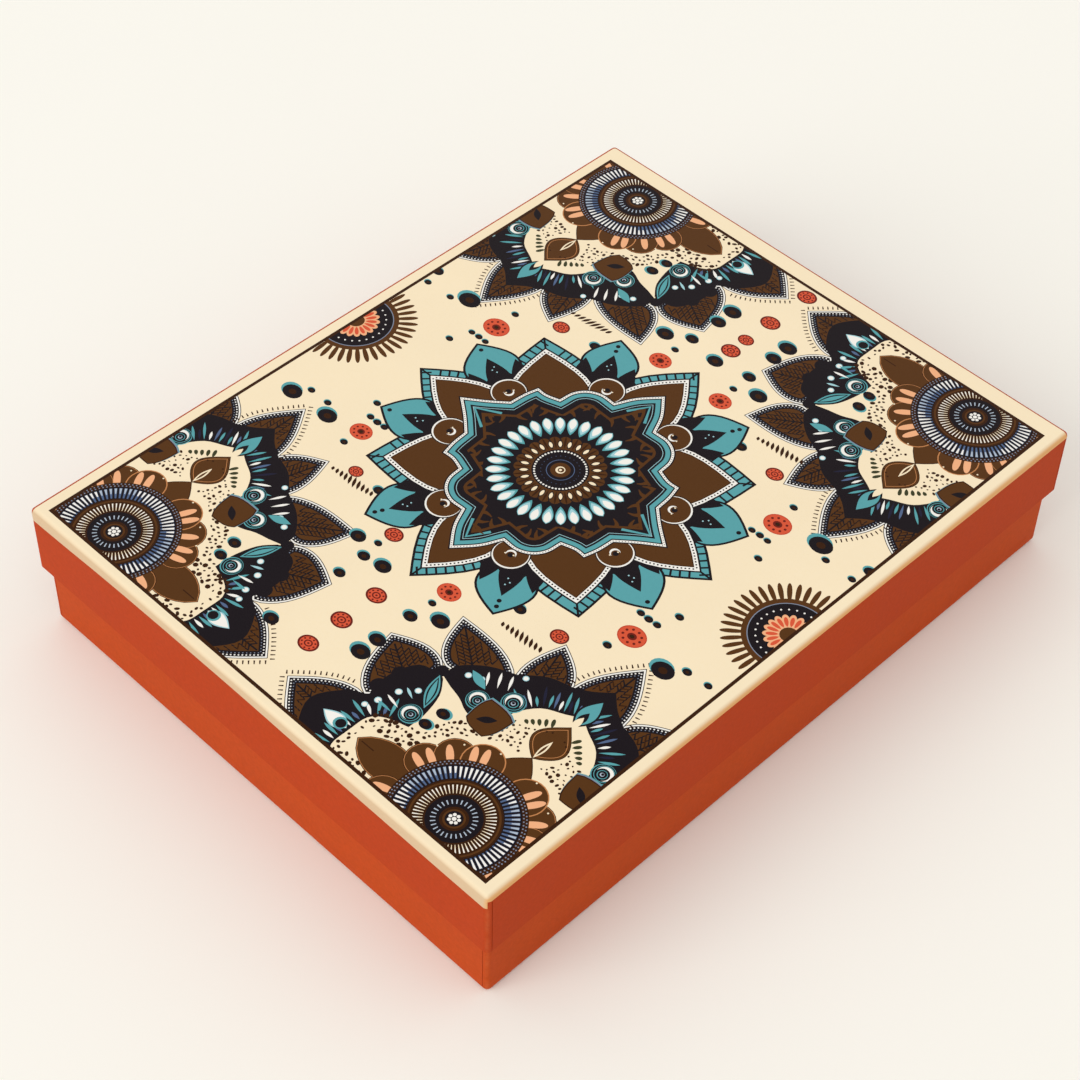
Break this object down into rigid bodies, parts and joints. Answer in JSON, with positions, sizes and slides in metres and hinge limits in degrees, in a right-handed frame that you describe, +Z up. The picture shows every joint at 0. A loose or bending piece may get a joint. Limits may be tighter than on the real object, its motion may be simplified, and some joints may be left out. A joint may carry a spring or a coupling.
{
  "type": "rigid sweet box",
  "caption": "Shallow rigid paper-covered sweet box: a tray with a telescoping lift-off lid, which carries a printed mandala sheet rolled over its edges.",
  "frame": {"origin": "middle of the underside of the closed box", "axes": "+X across the short side, +Y along the long side, +Z up, the way the lid lifts; the picture's left face is at -Y and its right face at +X"},
  "size_m": [0.1601, 0.2052, 0.04],
  "materials": {
    "greyboard": "raw, unlined, fibrous",
    "stay_paper": "kraft, matt",
    "cover_paper": "burnt orange, matt laminated",
    "lining_paper": "cream greaseproof, slightly waxy",
    "print_sheet": "cream art paper with a printed ornament, matt laminated"
  },
  "bodies": {
    "tray": {"base_board": "greyboard", "base_corner_stay_left": "stay_paper", "base_corner_stay_front": "stay_paper", "base_corner_stay_right": "stay_paper", "base_corner_stay_far": "stay_paper", "base_wrap": "cover_paper", "base_bottom_sheet": "cover_paper", "base_lining": "lining_paper"},
    "lid": {"lid_board": "greyboard", "lid_corner_stay_left": "stay_paper", "lid_corner_stay_front": "stay_paper", "lid_corner_stay_right": "stay_paper", "lid_corner_stay_far": "stay_paper", "lid_wrap": "cover_paper", "lid_lining": "lining_paper", "lid_top_print": "print_sheet"}
  },
  "joints": [
    {"name": "lid_lift", "type": "slide", "parent": "tray", "child": "lid", "axis": [0, 0, 1], "range_m": [0, 0.1]}
  ]
}
